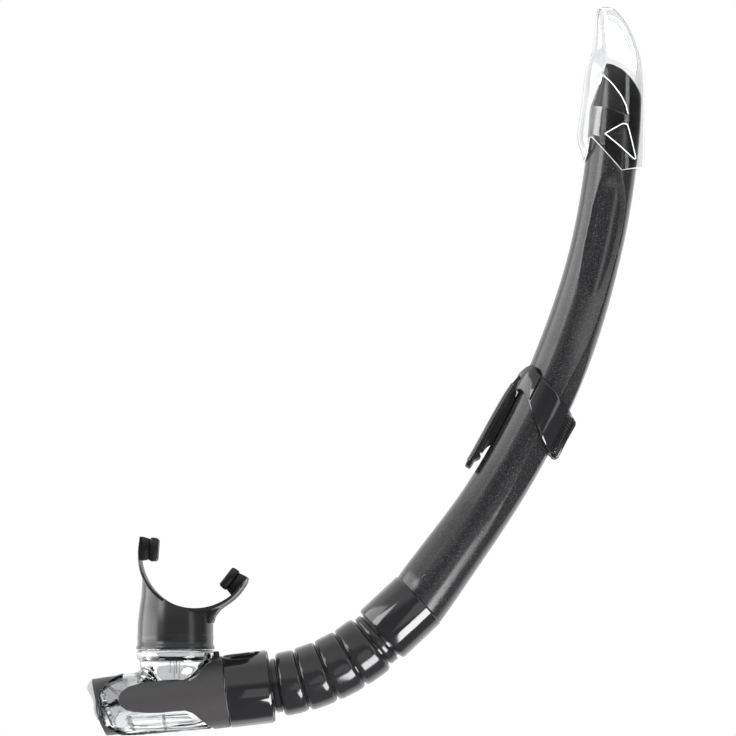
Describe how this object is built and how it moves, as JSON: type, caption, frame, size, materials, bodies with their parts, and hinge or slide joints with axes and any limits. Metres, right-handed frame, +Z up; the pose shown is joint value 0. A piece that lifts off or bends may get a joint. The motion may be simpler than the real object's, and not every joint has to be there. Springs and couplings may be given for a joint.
{
  "type": "snorkel",
  "caption": "Snorkel with a curved barrel, clear splash guard, strap keeper, ribbed flexible hose, swivelling clear base with a purge valve, and a soft bite mouthpiece.",
  "frame": {"origin": "middle of the strap slot, between the keeper's clip and the barrel, where the mask strap holds the snorkel", "axes": "+Z up along the snorkel as it stands in use, +X towards the outer side of the barrel's curve, +Y across the snorkel; the tube bends in the XZ plane"},
  "size_m": [0.2793, 0.0399, 0.365],
  "materials": {
    "barrel_plastic": "satin charcoal with a fine sparkle",
    "clear_plastic": "clear, polished",
    "gloss_plastic": "glossy dark grey",
    "hose_rubber": "semi-gloss black",
    "tongue_plastic": "matt dark grey",
    "black_silicone": "satin black",
    "silver_trim": "silver"
  },
  "bodies": {
    "keeper": {"keeper_ring": "gloss_plastic"},
    "clip": {"strap_clip": "gloss_plastic"},
    "tube": {"barrel": "barrel_plastic", "splash_guard": "clear_plastic", "hose_collar": "gloss_plastic", "hose": "hose_rubber"},
    "cuff": {"hose_cuff": "gloss_plastic"},
    "base": {"base_body": "clear_plastic", "swivel_seal": "black_silicone", "tongue_cover": "tongue_plastic", "purge_seat": "clear_plastic", "purge_cover": "tongue_plastic", "purge_rim": "silver_trim"},
    "valve": {"purge_valve": "black_silicone"},
    "bite_piece": {"mouthpiece": "black_silicone", "mouthpiece_band": "gloss_plastic"}
  },
  "joints": [
    {"name": "barrel_slide", "type": "hinge", "parent": "keeper", "child": "tube", "pos_m": [-0.33813, 0, 0.17974], "axis": [0, 1, 0], "range_deg": [-6, 10]},
    {"name": "clip_flex", "type": "hinge", "parent": "keeper", "child": "clip", "pos_m": [0.01053, 0, 0.02268], "axis": [0, 1, 0], "range_deg": [0, 6], "stiffness_Nm_per_rad": 0.3},
    {"name": "hose_bend", "type": "hinge", "parent": "tube", "child": "cuff", "pos_m": [-0.08376, 0, -0.12129], "axis": [0, 1, 0], "range_deg": [-35, 40], "stiffness_Nm_per_rad": 4, "deforming": ["hose"]},
    {"name": "base_swivel", "type": "hinge", "parent": "cuff", "child": "base", "pos_m": [-0.13515, 0, -0.13241], "axis": [0.9925, 0, 0.1219], "range_deg": [-90, 90]},
    {"name": "mouthpiece_turn", "type": "hinge", "parent": "base", "child": "bite_piece", "pos_m": [-0.16076, 0, -0.11185], "axis": [0, 0, 1], "continuous": true},
    {"name": "purge_valve_lift", "type": "slide", "parent": "base", "child": "valve", "axis": [-0.9285, 0, -0.3714], "range_m": [0, 0.0015], "stiffness_N_per_m": 50}
  ]
}
